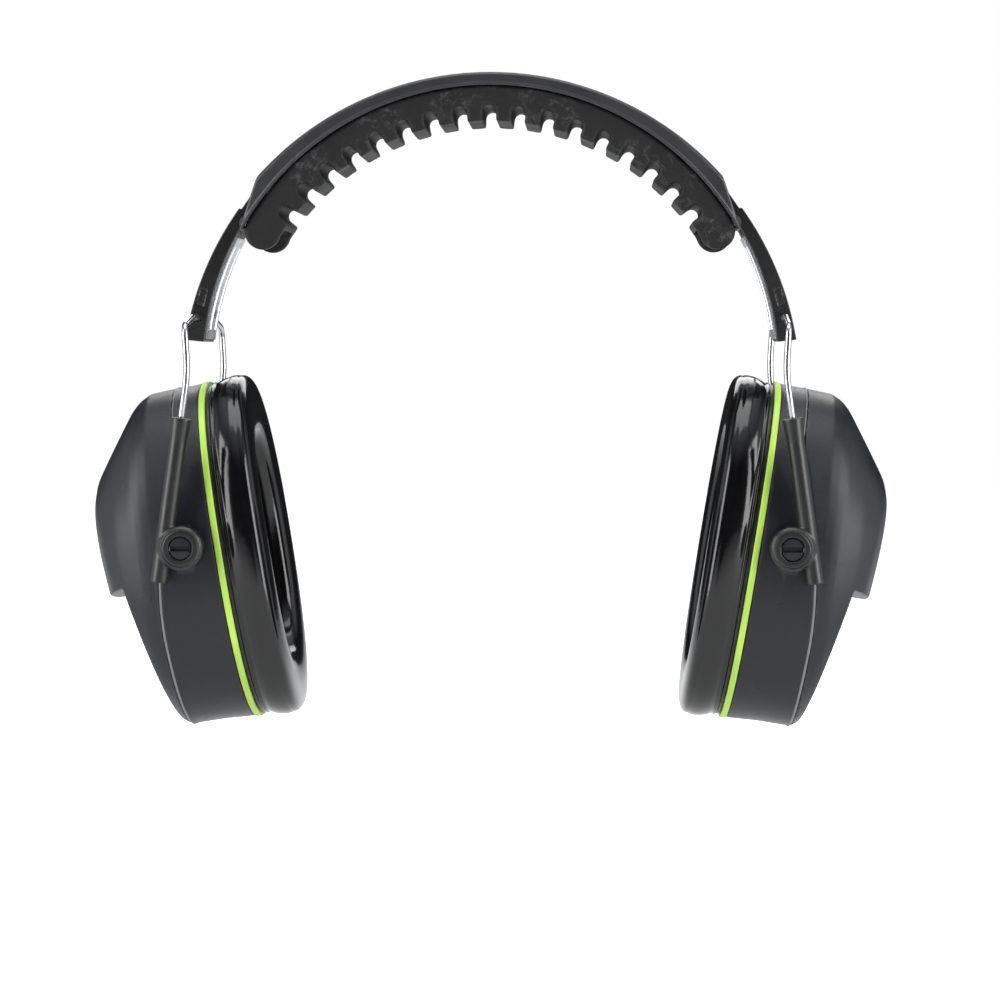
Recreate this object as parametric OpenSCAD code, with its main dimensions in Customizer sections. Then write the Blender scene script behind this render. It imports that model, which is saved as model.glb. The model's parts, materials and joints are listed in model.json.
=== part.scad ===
// Folding earmuff hearing protector.
// Frame: +X to the wearer's left, -Y where the wearer looks, +Z up.
// Origin: on the symmetry plane, level with the centres of the two ear cups.
// Every "side" module draws the piece of the +X side, and other_side() mirrors it.

/* [Headband] */
// Inner radius of the crown pad
pad_inner_r = 78; // [65:0.1:94]
// Height of the headband's arc centre above the ear line
band_centre_z = 56.3; // [50:0.1:68]
// Thickness of the rubber pad
pad_thickness = 11; // [9:0.1:13.2]
// Thickness of the pad beside the shell's hinge lugs
pad_cheek = 2; // [1:0.1:4]
// Number of ventilation notches in the pad
notch_count = 17; // [5:1:18]
// Width of a notch
notch_width = 4.2; // [3:0.1:5]
// Depth of a notch
notch_depth = 5; // [3:0.1:6]
// How far the shell stands out beyond the pad, front and rear
shell_overhang = 0.8; // [0.6:0.1:3]
// Height of the shell's side wall at the crown
shell_height = 4.2; // [4:0.1:6]
// How much higher the side wall is at the shell's end
shell_growth = 1.5; // [0:0.1:2]
// Wall thickness of the shell
shell_wall = 1.7; // [1.4:0.1:1.9]
// Angle of the shell's tapered side walls, above the fold pin
shell_taper = 8.5; // [7.5:0.1:12]
// Thickness of the steel spring band
spring_thickness = 1; // [0.8:0.1:1.2]
// Width of the steel spring band
spring_width = 22; // [16:0.1:26.4]

/* [Folding arms] */
// Width of an arm, front to rear
arm_width = 24.6; // [20.5:0.1:29.5]
// Angle from the crown to the fold pin
fold_angle = 58.5; // [52:0.1:62]
// Diameter of the fold pin
fold_pin_d = 2.4; // [2:0.1:2.8]
// Angle from the fold pin up to the step where the arm gets thinner
arm_step = 1.7; // [0.5:0.1:2.5]
// Angle from the fold pin down to the lower end of the arm
arm_sweep = 25.5; // [22:0.1:30]
// Thickness of the arm just below its step
arm_thickness = 3.7; // [3.4:0.1:4.5]
// How much thicker the arm is at its lower end
arm_growth = 2.5; // [0:0.1:3]
// Thickness of the steel strip on the arm's inner face
strip_thickness = 0.7; // [0.5:0.1:1]
// Width of the steel strip
strip_width = 20; // [14:0.1:20.4]

/* [Wire yoke] */
// Diameter of the yoke wire
wire_d = 2; // [1.6:0.1:2.4]
// Angle from the arm's lower end up to the wire's crossbar
crossbar_rise = 4.5; // [3:0.1:6]
// Length of the straight crossbar
crossbar_length = 50; // [40:1:60]
// Bend radius at the wire's centre line
wire_bend_r = 4; // [3:0.1:5]
// Travel of the cup up the wire
slide_up = 8; // [4:0.1:9.6]
// Travel of the cup down the wire
slide_down = 28; // [16:0.1:34]
// Length of wire that stays in its tube at the lowest setting
leg_engagement = 10; // [8:0.1:12]

/* [Guide tubes] */
// Outer diameter of a guide tube
guide_d = 5.5; // [4.6:0.1:6.6]
// Gap between a guide tube and the widest part of the cup
guide_gap = 0.85; // [0.8:0.05:4]
// Length of tube below the end of the wire at the highest setting
guide_spare = 4.5; // [3:0.1:8]
// Distance from the tube's mouth to the level of the cup pivot
guide_drop = 39.1; // [36:0.1:42]
// Angle of the tube to the vertical
guide_tilt = 8; // [4:0.5:12]
// Diameter of the pivot disc on the tube
disc_d = 13.6; // [12:0.1:15]
// Diameter of the cup's pivot stud
stud_d = 6.2; // [5.1:0.1:7.4]
// Wall between the stud's head and the wire's bore
stud_wall = 0.65; // [0.5:0.05:1.5]

/* [Ear cups] */
// How far the centre of the trim ring stands out beyond the pad's inner radius
ring_offset = 3.75; // [-2:0.05:8]
// Tilt of the ear cup, top outward
cup_tilt = 9.2; // [4:0.2:12]
// Height of the ear cup at its trim ring
cup_height = 107; // [89:0.1:110]
// Width of the ear cup, front to rear
cup_width = 82.8; // [69:0.1:99.4]
// Depth of the ear cup from its trim ring to its hood
cup_depth = 40.2; // [33.5:0.1:48.2]
// Wall thickness of the ear cup
cup_wall = 2.4; // [1.8:0.1:2.8]
// Height of the hood's lower edge above the centre of the trim ring
hood_edge_v = -9.4; // [-14:0.2:-4]
// Height of the step at the hood's lower edge
hood_step = 6.4; // [4:0.1:8]
// Height of the cup pivot above the centre of the trim ring
pivot_v = 4.7; // [0:0.1:8]
// Distance from the cup pivot to the seam between the cup's body and its cover
pivot_inset = 7.47; // [6.5:0.01:8.5]

/* [Seals] */
// Visible thickness of the coloured trim ring
trim_thickness = 1.9; // [1.4:0.1:3]
// How far the trim ring stands out from the cup wall
trim_proud = 0.3; // [0.1:0.1:0.5]
// Thickness of the plate that the cushion is bonded to
plate_thickness = 1.4; // [1:0.1:2]
// Depth of the ear cushion
cushion_depth = 12; // [9:0.5:16]
// Thickness of the cushion's skin
skin_thickness = 0.8; // [0.5:0.1:1.2]
// Width of the cushion's ring
cushion_ring_width = 19; // [15:0.5:21]
// Thickness of the foam inside the cup
liner_thickness = 9; // [5:0.5:10]

/* [Hidden] */
$fn = 48;
clearance = 0.1;
running_fit = 0.05;
moving_gap = 0.3;
oval_points = 48;

shell_color = [0.24, 0.24, 0.25];
pad_color = [0.14, 0.14, 0.15];
arm_color = [0.12, 0.12, 0.13];
cup_color = [0.27, 0.28, 0.29];
trim_color = [0.69, 0.85, 0.36];
skin_color = [0.10, 0.10, 0.11];
foam_color = [0.55, 0.55, 0.53];
steel_color = [0.78, 0.80, 0.82];

// Radii of the headband, from its arc centre
pad_outer_r = pad_inner_r + pad_thickness;
tongue_height = 1;
spring_r = pad_outer_r + tongue_height + clearance;
shell_top_r = pad_outer_r + shell_height;
arm_inner_r = pad_outer_r + 1.3;

// Angles from the crown
shell_end_angle = fold_angle - shell_taper;
shell_tip_angle = fold_angle + 2;
pad_end_angle = fold_angle - 0.2;
arm_top_angle = shell_end_angle + 1.6;
arm_step_angle = fold_angle - arm_step;
arm_end_angle = fold_angle + arm_sweep;
crossbar_angle = arm_end_angle - crossbar_rise;
last_notch_angle = pad_end_angle - 6.3;
notch_pitch = 2 * last_notch_angle / (notch_count - 1);

// The fold hinge, and the widths that follow from it
knuckle_r = fold_pin_d / 2 + 1.3;
lug_r = fold_pin_d / 2 + 1.4;
lug_gap = arm_width / 2 + moving_gap;
lug_thickness = 2.4;
pin_length = 2 * (lug_gap + lug_thickness);
pad_width = pin_length + 2 * pad_cheek;
shell_width = pad_width + 2 * shell_overhang;
shell_bay = shell_width - 2 * shell_wall;
tongue_width = spring_width + 4;

// The outer faces of the shell and the arm are arcs about a lower centre, so they thicken downwards
shell_drop = shell_growth / (1 - cos(shell_end_angle));
shell_outer_r = shell_top_r + shell_drop;
arm_drop = arm_growth / (cos(arm_step_angle) - cos(arm_end_angle));
arm_outer_r = arm_inner_r + arm_thickness + arm_drop * cos(arm_step_angle);

function polar(r, angle) = [r * sin(angle), band_centre_z + r * cos(angle)];

// Points of the folding pin and of the wire's crossbar, as [x, z]
fold_point = polar(pad_outer_r, fold_angle);
crossbar = polar((arm_inner_r + arm_outer_r - arm_drop * cos(crossbar_angle)) / 2, crossbar_angle);

// The yoke's legs run beside the cup in tubes that are closed at their lower end
leg_spacing = cup_width + guide_d + 2 * guide_gap;
leg_insertion = slide_down + leg_engagement;
guide_length = leg_insertion + slide_up + guide_spare;

// Depth of the seam between the cup's body and its cover, at height v above the centre
function clamp(x) = min(1, max(0, x));
function seam_u(v) = cup_depth * (0.232 + 0.296 * sin(90 * clamp((0.67 - 2 * v / cup_height) / 1.16)));

// The cup pivot, and the mouth of the guide tube beside it
ring_x = pad_inner_r + ring_offset;
pivot_u = seam_u(pivot_v) - pivot_inset;
pivot = [
    ring_x + pivot_u * cos(cup_tilt) + pivot_v * sin(cup_tilt),
    pivot_v * cos(cup_tilt) - pivot_u * sin(cup_tilt),
];
guide_down = [sin(guide_tilt), -cos(guide_tilt)];
guide_out = [cos(guide_tilt), sin(guide_tilt)];
stud_head_d = stud_d + 1;
guide_offset = stud_head_d / 2 + clearance + stud_wall + running_fit + wire_d / 2;
guide_mouth = pivot + guide_out * guide_offset - guide_down * guide_drop;

// Sizes of the cup pivot, from the cup wall outwards
disc_y = cup_width / 2 + trim_proud + 2 * moving_gap;
disc_face_y = leg_spacing / 2 + guide_d / 2 + 0.9;
head_depth = 1.6;

// Oval outlines, as [height above the centre, height below the centre, half width]
ring_oval = [cup_height / 2, cup_height / 2, cup_width / 2];
seal_oval = ring_oval + [0.6, 0.6, 0.3];
body_draft = 0.011 * cup_height / 2;
seam_oval = ring_oval - [0.2, body_draft, 0];
plate_u = -trim_thickness / 2 - plate_thickness;

function inset(oval, by) = oval - [by, by, by];
function power(x, n) = sign(x) * pow(abs(x), n);

// A point of an oval at angle t from the rear, as [height, front to rear]
function oval_point(oval, t, n = 2.35) = [
    power(sin(t), 2 / n) * (sin(t) > 0 ? oval[0] : oval[1]),
    power(cos(t), 2 / n) * oval[2],
];

// An oval across the cup, whose depth runs evenly from u_low at its lowest point to u_top
function flat_ring(u_top, u_low, oval) = [
    for (i = [0:oval_points - 1])
        let (p = oval_point(oval, 360 * i / oval_points))
        let (share = (p[0] + oval[1]) / (oval[0] + oval[1]))
        [u_low + (u_top - u_low) * share, p[1], p[0]]
];

// An oval that lies between the trim ring (share 0) and the seam (share 1)
function seam_ring(share, oval) = [
    for (i = [0:oval_points - 1])
        let (p = oval_point(oval, 360 * i / oval_points))
        let (start = trim_thickness / 2)
        [start + share * (seam_u(p[0]) - start), p[1], p[0]]
];

// Outline of the cup cover, from near the seam to the hood's face: depth and height at the top,
// depth and height at the bottom, and half width, as shares of the cup's own sizes
cover_stations = [
    [0.440, 0.988, 0.575, 0.968, 0.990],
    [0.525, 0.957, 0.605, 0.945, 0.981],
    [0.595, 0.907, 0.660, 0.900, 0.965],
    [0.775, 0.720, 0.780, 0.740, 0.885],
    [0.935, 0.550, 0.850, 0.580, 0.780],
    [0.985, 0.450, 0.905, 0.450, 0.660],
    [1.000, 0.284, 0.925, 0.262, 0.420],
];

function station_oval(s) = [s[1] * cup_height / 2, s[3] * cup_height / 2, s[4] * cup_width / 2];
function outer_ring(s) = flat_ring(s[0] * cup_depth, s[2] * cup_depth, station_oval(s));

// Below the hood, the cover's face is a plane that starts at the cup's lower corner
low_corner = [0.6 * cup_depth, -0.885 * cup_height / 2];
// The hood's face is domed, and lies this far in at its lower edge
hood_dome = 2.8;
under_hood_u = cup_depth - hood_step - hood_dome;
face_slope = (under_hood_u - low_corner[0]) / (hood_edge_v - low_corner[1]);
function low_face_u(v) = low_corner[0] + face_slope * (v - low_corner[1]);

// The cavity follows the outer stations, but stays a wall's thickness below that plane
function cavity_ring(s) =
    let (oval = inset(station_oval(s), cup_wall))
    flat_ring(
        s[0] * cup_depth - cup_wall,
        min(s[2] * cup_depth, low_face_u(-oval[1])) - cup_wall,
        oval
    );

// A solid through a row of rings, with end caps, or joined from its last ring to its first
module loft(rings, closed = false) {
    count = len(rings);
    size = len(rings[0]);
    walls = [
        for (k = [0:(closed ? count - 1 : count - 2)], i = [0:size - 1])
            let (a = k * size, b = ((k + 1) % count) * size, j = (i + 1) % size)
            each [[a + i, a + j, b + j], [a + i, b + j, b + i]]
    ];
    caps = closed ? [] : [
        [for (i = [size - 1:-1:0]) i],
        [for (i = [0:size - 1]) (count - 1) * size + i],
    ];
    polyhedron([for (ring = rings) each ring], concat(walls, caps), convexity = 8);
}

// Frames
module other_side() {
    mirror([1, 0, 0]) children();
}

// The ear cup's frame: X is its depth away from the head, Z its height
module in_cup_frame() {
    translate([ring_x, 0, 0]) rotate([0, cup_tilt, 0]) children();
}

// The guide tube's frame: origin at its mouth, Z down its axis. y is -1 at the front, 1 at the rear
module in_guide_frame(y) {
    translate([guide_mouth[0], y * leg_spacing / 2, guide_mouth[1]])
        rotate([0, 180 - guide_tilt, 0]) children();
}

// A frame on the cup pivot's axis, with Z away from the cup
module on_pivot(y, distance) {
    translate([pivot[0], y * distance, pivot[1]]) rotate([-90 * y, 0, 0]) children();
}

// A section swept about the headband's centre between two angles from the crown
module sweep(from, to, drop = 0) {
    translate([0, 0, band_centre_z - drop])
        rotate([90, 0, 0])
            rotate_extrude(angle = to - from, start = 90 - to, $fn = 180) children();
}

// A rectangle of such a section: radii along X, front to rear along Y
module section(r_low, r_high, width) {
    translate([r_low, -width / 2]) square([r_high - r_low, width]);
}

// A rod from front to rear through the point [x, z]
module cross_rod(point, d, length) {
    translate([point[0], 0, point[1]]) rotate([90, 0, 0]) cylinder(d = d, h = length, center = true);
}

// An outline of [x, z] points, extruded from front to rear
module across(width, points) {
    rotate([90, 0, 0]) linear_extrude(width, center = true) polygon(points);
}

// Everything between two angles from the crown
module wedge(from, to, width) {
    reach = 2 * shell_outer_r;
    across(width, [[0, band_centre_z], polar(reach, from), polar(reach, to)]);
}

// Headband
module shell_section() {
    corner = 1.2;
    difference() {
        section(pad_inner_r, shell_outer_r, shell_width);
        for (y = [-1, 1])
            translate([shell_outer_r, y * shell_width / 2]) rotate(45) square(corner, center = true);
    }
}

// What is cut away beyond the tapered ends of the shell's side walls
module shell_end_cut() {
    reach = 2 * shell_outer_r;
    beyond = shell_end_angle + 60;
    across(shell_width + 2, [
        polar(shell_top_r + shell_growth, shell_end_angle),
        polar(pad_outer_r + 0.8, shell_tip_angle),
        polar(pad_inner_r / 2, shell_tip_angle),
        polar(pad_inner_r / 2, beyond),
        polar(reach, beyond),
        polar(reach, shell_end_angle),
    ]);
}

// Two ears inside the shell's side walls, which hold the fold pin
module hinge_lugs() {
    bar_top_r = pad_outer_r + 1.6;
    wall_middle = shell_width / 2 - shell_wall / 2;
    difference() {
        union() {
            cross_rod(fold_point, 2 * lug_r, pin_length);
            sweep(fold_angle - 5, fold_angle + 1) section(pad_outer_r, bar_top_r, 2 * wall_middle);
        }
        cross_rod(fold_point, fold_pin_d, pin_length + 2);
        sweep(fold_angle - 10, 90) section(pad_inner_r, shell_outer_r, 2 * lug_gap);
    }
}

module band_shell() {
    color(shell_color) {
        difference() {
            sweep(-80, 80, shell_drop) shell_section();
            sweep(-90, 90, shell_drop) section(1, shell_outer_r - shell_wall, shell_bay);
            sweep(-90, 90) section(1, pad_outer_r, shell_width + 2);
            for (side = [0, 1]) mirror([side, 0, 0]) {
                wedge(shell_end_angle, 90, shell_bay);
                shell_end_cut();
            }
        }
        for (side = [0, 1]) mirror([side, 0, 0]) hinge_lugs();
    }
}

module band_spring() {
    reach = shell_end_angle - 2;
    color(steel_color)
        sweep(-reach, reach) section(spring_r, spring_r + spring_thickness, spring_width);
}

module pad_notch(angle) {
    tip_r = pad_inner_r + notch_depth - notch_width / 2;
    translate([0, 0, band_centre_z]) rotate([0, angle, 0]) {
        translate([0, 0, tip_r]) rotate([90, 0, 0]) cylinder(d = notch_width, h = pad_width + 2, center = true);
        translate([0, 0, tip_r - notch_depth])
            cube([notch_width, pad_width + 2, 2 * notch_depth], center = true);
    }
}

// Room in the pad's end for the folding arm and for the shell's hinge lugs
module fold_pocket() {
    pocket_width = arm_width + 2 * moving_gap;
    intersection() {
        wedge(fold_angle - 3, 90, pocket_width);
        sweep(0, 90) section(1, pad_outer_r + 2, pocket_width);
    }
    cross_rod(fold_point, 2 * lug_r + 2 * moving_gap, pin_length + 2 * clearance);
}

module band_pad() {
    end_r = pad_thickness / 2 + 0.1;
    end_point_r = pad_outer_r - clearance - end_r;
    color(pad_color)
        difference() {
            union() {
                sweep(-pad_end_angle, pad_end_angle) section(pad_inner_r, pad_outer_r, pad_width);
                for (s = [-1, 1]) cross_rod(polar(end_point_r, s * pad_end_angle), 2 * end_r, pad_width);
                sweep(-shell_end_angle + 1, shell_end_angle - 1)
                    section(pad_outer_r - 1, pad_outer_r + tongue_height, tongue_width);
            }
            for (i = [0:notch_count - 1]) pad_notch((i - (notch_count - 1) / 2) * notch_pitch);
            for (side = [0, 1]) mirror([side, 0, 0]) fold_pocket();
        }
}

// Folding arm
module arm_cover() {
    neck_r = arm_inner_r + 2.8;
    color(arm_color)
        difference() {
            union() {
                intersection() {
                    sweep(30, 100, arm_drop) section(pad_inner_r, arm_outer_r, arm_width);
                    wedge(arm_step_angle, arm_end_angle, arm_width + 1);
                }
                sweep(arm_top_angle, arm_step_angle + 3) section(arm_inner_r - 1, neck_r, arm_width);
            }
            sweep(20, 110) section(1, arm_inner_r, arm_width + 1);
            cross_rod(fold_point, 2 * knuckle_r - 0.4, arm_width + 1);
            cross_rod(crossbar, wire_d + 2 * running_fit, arm_width + 1);
        }
    color(arm_color)
        difference() {
            cross_rod(fold_point, 2 * knuckle_r, arm_width);
            cross_rod(fold_point, fold_pin_d + 2 * running_fit, arm_width + 1);
        }
}

module arm_strip() {
    from = fold_angle + 3.5;
    to = arm_end_angle - 0.6;
    inner_r = arm_inner_r - strip_thickness;
    bead_d = 0.9;
    window_width = 8;
    color(steel_color)
        difference() {
            union() {
                sweep(from, to) section(inner_r, arm_inner_r, strip_width);
                for (y = [-1, 1])
                    sweep(from + 2, to - 2) translate([inner_r + 0.1, y * strip_width * 0.3]) circle(d = bead_d);
            }
            sweep(crossbar_angle - 2.1, crossbar_angle - 0.5) section(1, arm_inner_r + 1, window_width);
        }
}

module fold_pin() {
    color(steel_color) cross_rod(fold_point, fold_pin_d, pin_length);
}

// Wire yoke: each piece of wire carries on from the end of the one before it. The straight
// pieces reach a little into the bends, which are a hair thinner, so that they join cleanly.
wire_lap = 0.05;

module straight_wire(length) {
    translate([0, 0, -wire_lap]) cylinder(d = wire_d, h = length + 2 * wire_lap);
    translate([0, 0, length]) children();
}

// A negative angle bends away from where it points
module bent_wire(angle, toward, r = wire_bend_r) {
    bend = abs(angle);
    heading = angle < 0 ? toward + 180 : toward;
    rotate([0, 0, heading]) {
        translate([r, 0, 0]) mirror([1, 0, 0]) rotate([90, 0, 0])
            rotate_extrude(angle = bend) translate([r, 0]) circle(d = wire_d - wire_lap / 5);
        translate([r * (1 - cos(bend)), 0, r * sin(bend)])
            rotate([0, bend, 0]) rotate([0, 0, -heading]) children();
    }
}

shoulder_slope = 8;
shoulder_run = (leg_spacing - crossbar_length) / 2 - wire_bend_r;
shoulder_fall = wire_bend_r + shoulder_run * tan(shoulder_slope);
// The straight part of a leg starts this far above the tube's mouth, so the cup can slide up
straight_above_mouth = slide_up + 1;
// Above that, each leg leans over in one wide bend, this long on either side of its corner
kink_tangent = 5;
kink = guide_mouth - guide_down * (straight_above_mouth + kink_tangent);
upper_leg = crossbar - kink;
leg_lean = atan2(upper_leg[0], upper_leg[1]);
kink_angle = guide_tilt + leg_lean;
kink_r = kink_tangent / tan(max(1, abs(kink_angle)) / 2);

module yoke_half() {
    rotate([-90, 0, 0])
        straight_wire(crossbar_length / 2)
            bent_wire(shoulder_slope, 90)
                straight_wire(shoulder_run / cos(shoulder_slope))
                    bent_wire(90 - shoulder_slope, 90)
                        straight_wire(norm(upper_leg) - shoulder_fall - kink_tangent)
                            bent_wire(kink_angle, 0, kink_r)
                                straight_wire(straight_above_mouth + leg_insertion);
}

module wire_yoke() {
    color(steel_color)
        translate([crossbar[0], 0, crossbar[1]]) rotate([0, leg_lean, 0]) {
            yoke_half();
            mirror([0, 1, 0]) yoke_half();
        }
}

// Guide tube with the disc that turns on the cup's pivot stud
module guide(y) {
    flare_d = guide_d + 0.9;
    flare_length = 8;
    bevel = 0.9;
    closed_end = 2;
    color(arm_color)
        difference() {
            union() {
                in_guide_frame(y) {
                    cylinder(d = guide_d, h = guide_length);
                    cylinder(d1 = flare_d, d2 = guide_d - 0.1, h = flare_length);
                }
                on_pivot(y, disc_y) cylinder(d = disc_d, h = disc_face_y - bevel - disc_y);
                on_pivot(y, disc_face_y - bevel) cylinder(d1 = disc_d, d2 = disc_d - 2 * bevel, h = bevel);
            }
            in_guide_frame(y) translate([0, 0, -1])
                cylinder(d = wire_d + 2 * running_fit, h = guide_length - closed_end + 1);
            on_pivot(y, disc_y - 1) cylinder(d = stud_d + 2 * running_fit, h = disc_face_y - disc_y + 2);
            on_pivot(y, disc_face_y - head_depth) cylinder(d = stud_head_d + 2 * clearance, h = head_depth + 1);
        }
}

module front_guide() {
    guide(-1);
}

module rear_guide() {
    guide(1);
}

// Ear cup
module hood_cut() {
    reach = cup_height;
    edge_r = 150;
    difference() {
        across(2 * reach, [
            [low_face_u(0), 0],
            [low_face_u(-reach), -reach],
            [reach, -reach],
            [reach, 0],
        ]);
        translate([0, 0, hood_edge_v + edge_r]) rotate([0, 90, 0])
            cylinder(r = edge_r, h = 2 * reach, $fn = 180);
    }
}

module cup_cover() {
    last = len(cover_stations) - 1;
    cap_low_v = -0.66 * cup_height / 2;
    cavity_cap = flat_ring(
        min(0.86 * cup_depth, low_face_u(0.5 * cup_height / 2) - cup_wall),
        low_face_u(cap_low_v) - cup_wall,
        [0.5 * cup_height / 2, -cap_low_v, 0.72 * cup_width / 2]
    );
    color(cup_color)
        in_cup_frame()
            difference() {
                loft(concat(
                    [for (k = [last:-1:0]) outer_ring(cover_stations[k])],
                    [seam_ring(1, seam_oval), seam_ring(1, inset(seam_oval, cup_wall))],
                    [for (k = [0:3]) cavity_ring(cover_stations[k])],
                    [cavity_cap]
                ));
                hood_cut();
            }
}

module pivot_stud(y) {
    root_y = cup_width / 2 - cup_wall - 1;
    neck_end = disc_face_y - head_depth + clearance;
    slot = [stud_head_d + 2, 1.4, 5];
    difference() {
        union() {
            on_pivot(y, root_y) cylinder(d = stud_d + 5, h = disc_y - moving_gap - root_y);
            on_pivot(y, root_y) cylinder(d = stud_d, h = neck_end - root_y + 0.2);
            on_pivot(y, neck_end) cylinder(d = stud_head_d, h = head_depth - clearance - 0.4);
        }
        on_pivot(y, disc_face_y - slot[2] / 2) cube(slot, center = true);
    }
}

module cup_body() {
    shares = [0, 0.35, 1];
    drafts = [0, 0.7, 1];
    ovals = [for (draft = drafts) ring_oval + (seam_oval - ring_oval) * draft];
    outer = [for (k = [2:-1:0]) seam_ring(shares[k], ovals[k])];
    inner = [for (k = [0:2]) seam_ring(shares[k], inset(ovals[k], cup_wall))];
    color(cup_color) {
        in_cup_frame() loft(concat(outer, inner), closed = true);
        for (y = [-1, 1]) pivot_stud(y);
    }
}

module trim_ring() {
    outer = inset(ring_oval, -trim_proud);
    inner = inset(ring_oval, 6);
    half = trim_thickness / 2;
    color(trim_color)
        in_cup_frame()
            loft([
                flat_ring(half, half, outer), flat_ring(-half, -half, outer),
                flat_ring(-half, -half, inner), flat_ring(half, half, inner),
            ], closed = true);
}

// Ear seal
module cushion_plate() {
    outer = inset(ring_oval, 0.8);
    inner = inset(ring_oval, cushion_ring_width - 4);
    face_u = plate_u + plate_thickness;
    color(arm_color)
        in_cup_frame()
            loft([
                flat_ring(face_u, face_u, outer), flat_ring(plate_u, plate_u, outer),
                flat_ring(plate_u, plate_u, inner), flat_ring(face_u, face_u, inner),
            ], closed = true);
}

// Half of the cushion's section, from the plate to the face: share of its depth, and inset
cushion_profile = [[0, 0.6], [0.12, 0], [0.62, 0.2], [0.88, 1.6], [1, 4.4]];

// The cushion's section as rings, shrunk by a margin on every side but the plate's
function cushion_rings(margin) =
    let (deep = cushion_depth - margin)
    let (outer = [for (p = cushion_profile) [p[0] * deep, p[1] + margin]])
    let (inner = [for (k = [len(outer) - 1:-1:0]) [outer[k][0], cushion_ring_width - outer[k][1]]])
    [for (p = concat(outer, inner)) flat_ring(plate_u - p[0], plate_u - p[0], inset(seal_oval, p[1]))];

module cushion_cover() {
    outside = cushion_rings(0);
    inside = cushion_rings(skin_thickness);
    last = len(inside) - 1;
    color(skin_color)
        in_cup_frame()
            loft(concat(outside, [for (k = [last:-1:0]) inside[k]]), closed = true);
}

module cushion_foam() {
    color(foam_color)
        in_cup_frame() loft(cushion_rings(skin_thickness + clearance), closed = true);
}

module cup_liner() {
    start_u = 3;
    end_u = start_u + liner_thickness;
    oval = inset(seam_oval, cup_wall + 1);
    color(foam_color)
        in_cup_frame() loft([flat_ring(end_u, end_u, oval), flat_ring(start_u, start_u, oval)]);
}

band_shell();
band_spring();
band_pad();
arm_cover();  // left_arm_cover
arm_strip();  // left_arm_strip
fold_pin();  // left_fold_pin
wire_yoke();  // left_wire_yoke
front_guide();  // left_front_guide
rear_guide();  // left_rear_guide
cup_cover();  // left_cup_cover
cup_body();  // left_cup_body
trim_ring();  // left_trim_ring
cushion_plate();  // left_cushion_plate
cushion_foam();  // left_cushion_foam
cushion_cover();  // left_cushion_cover
cup_liner();  // left_cup_liner
other_side() arm_cover();  // right_arm_cover
other_side() arm_strip();  // right_arm_strip
other_side() fold_pin();  // right_fold_pin
other_side() wire_yoke();  // right_wire_yoke
other_side() front_guide();  // right_front_guide
other_side() rear_guide();  // right_rear_guide
other_side() cup_cover();  // right_cup_cover
other_side() cup_body();  // right_cup_body
other_side() trim_ring();  // right_trim_ring
other_side() cushion_plate();  // right_cushion_plate
other_side() cushion_foam();  // right_cushion_foam
other_side() cushion_cover();  // right_cushion_cover
other_side() cup_liner();  // right_cup_liner
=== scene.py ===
# %% [markdown]
# # A folding earmuff, finished piece by piece
# An earmuff hearing protector has a steel-sprung headband with a rubber pad, two arms that fold
# inwards, two wire yokes that slide in guide tubes, and two ear cups that seal on the head with
# vinyl cushions. The CAD model fixes every size and every joint. This lesson gives each piece
# the surface that the real one has: soft moulded edges, drawn wire, swollen vinyl and open foam.

# %% Load the frame
import json
import math

import bmesh
import bpy
import numpy as np
from mathutils import Matrix, Vector


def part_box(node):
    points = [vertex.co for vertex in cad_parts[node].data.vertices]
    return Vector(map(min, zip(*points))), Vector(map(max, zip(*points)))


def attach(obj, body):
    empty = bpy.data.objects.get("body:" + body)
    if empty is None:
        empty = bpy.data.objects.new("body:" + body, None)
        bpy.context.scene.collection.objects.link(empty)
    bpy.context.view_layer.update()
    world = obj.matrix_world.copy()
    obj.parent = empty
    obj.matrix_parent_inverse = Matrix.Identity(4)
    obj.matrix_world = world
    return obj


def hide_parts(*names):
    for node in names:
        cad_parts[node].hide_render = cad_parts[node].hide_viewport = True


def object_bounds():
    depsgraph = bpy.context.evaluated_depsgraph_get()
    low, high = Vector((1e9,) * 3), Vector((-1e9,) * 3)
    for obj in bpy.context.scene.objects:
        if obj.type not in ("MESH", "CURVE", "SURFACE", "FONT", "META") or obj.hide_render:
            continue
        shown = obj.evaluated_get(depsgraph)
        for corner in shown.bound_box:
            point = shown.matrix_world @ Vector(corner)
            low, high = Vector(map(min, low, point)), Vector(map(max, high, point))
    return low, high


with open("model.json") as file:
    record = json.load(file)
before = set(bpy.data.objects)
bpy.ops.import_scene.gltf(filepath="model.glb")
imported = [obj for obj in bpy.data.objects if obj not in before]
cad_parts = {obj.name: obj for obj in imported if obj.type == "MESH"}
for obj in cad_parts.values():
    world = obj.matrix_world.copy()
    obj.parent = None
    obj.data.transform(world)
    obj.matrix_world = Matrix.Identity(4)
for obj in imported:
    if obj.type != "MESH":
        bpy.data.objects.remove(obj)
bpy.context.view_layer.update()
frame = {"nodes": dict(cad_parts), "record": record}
record = frame["record"]
joints = {joint["name"]: joint for joint in record["behaviour"]["joints"]}
mounts = {mount["name"]: mount for mount in record["mounts"]}
mm = 0.001

# %% [markdown]
# ## The studio
# A product like this is shown on a white sweep between two large soft boxes, because its gloss
# only reads when there is something long and pale to mirror. The boxes stand left and right,
# a third light fills from above and a fourth from behind. The world stays darker than the sweep
# in front, so that the sides of the black pieces keep their depth. A long lens from nearly a metre
# away keeps the two cups parallel, as the eye sees them across a table.

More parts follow.
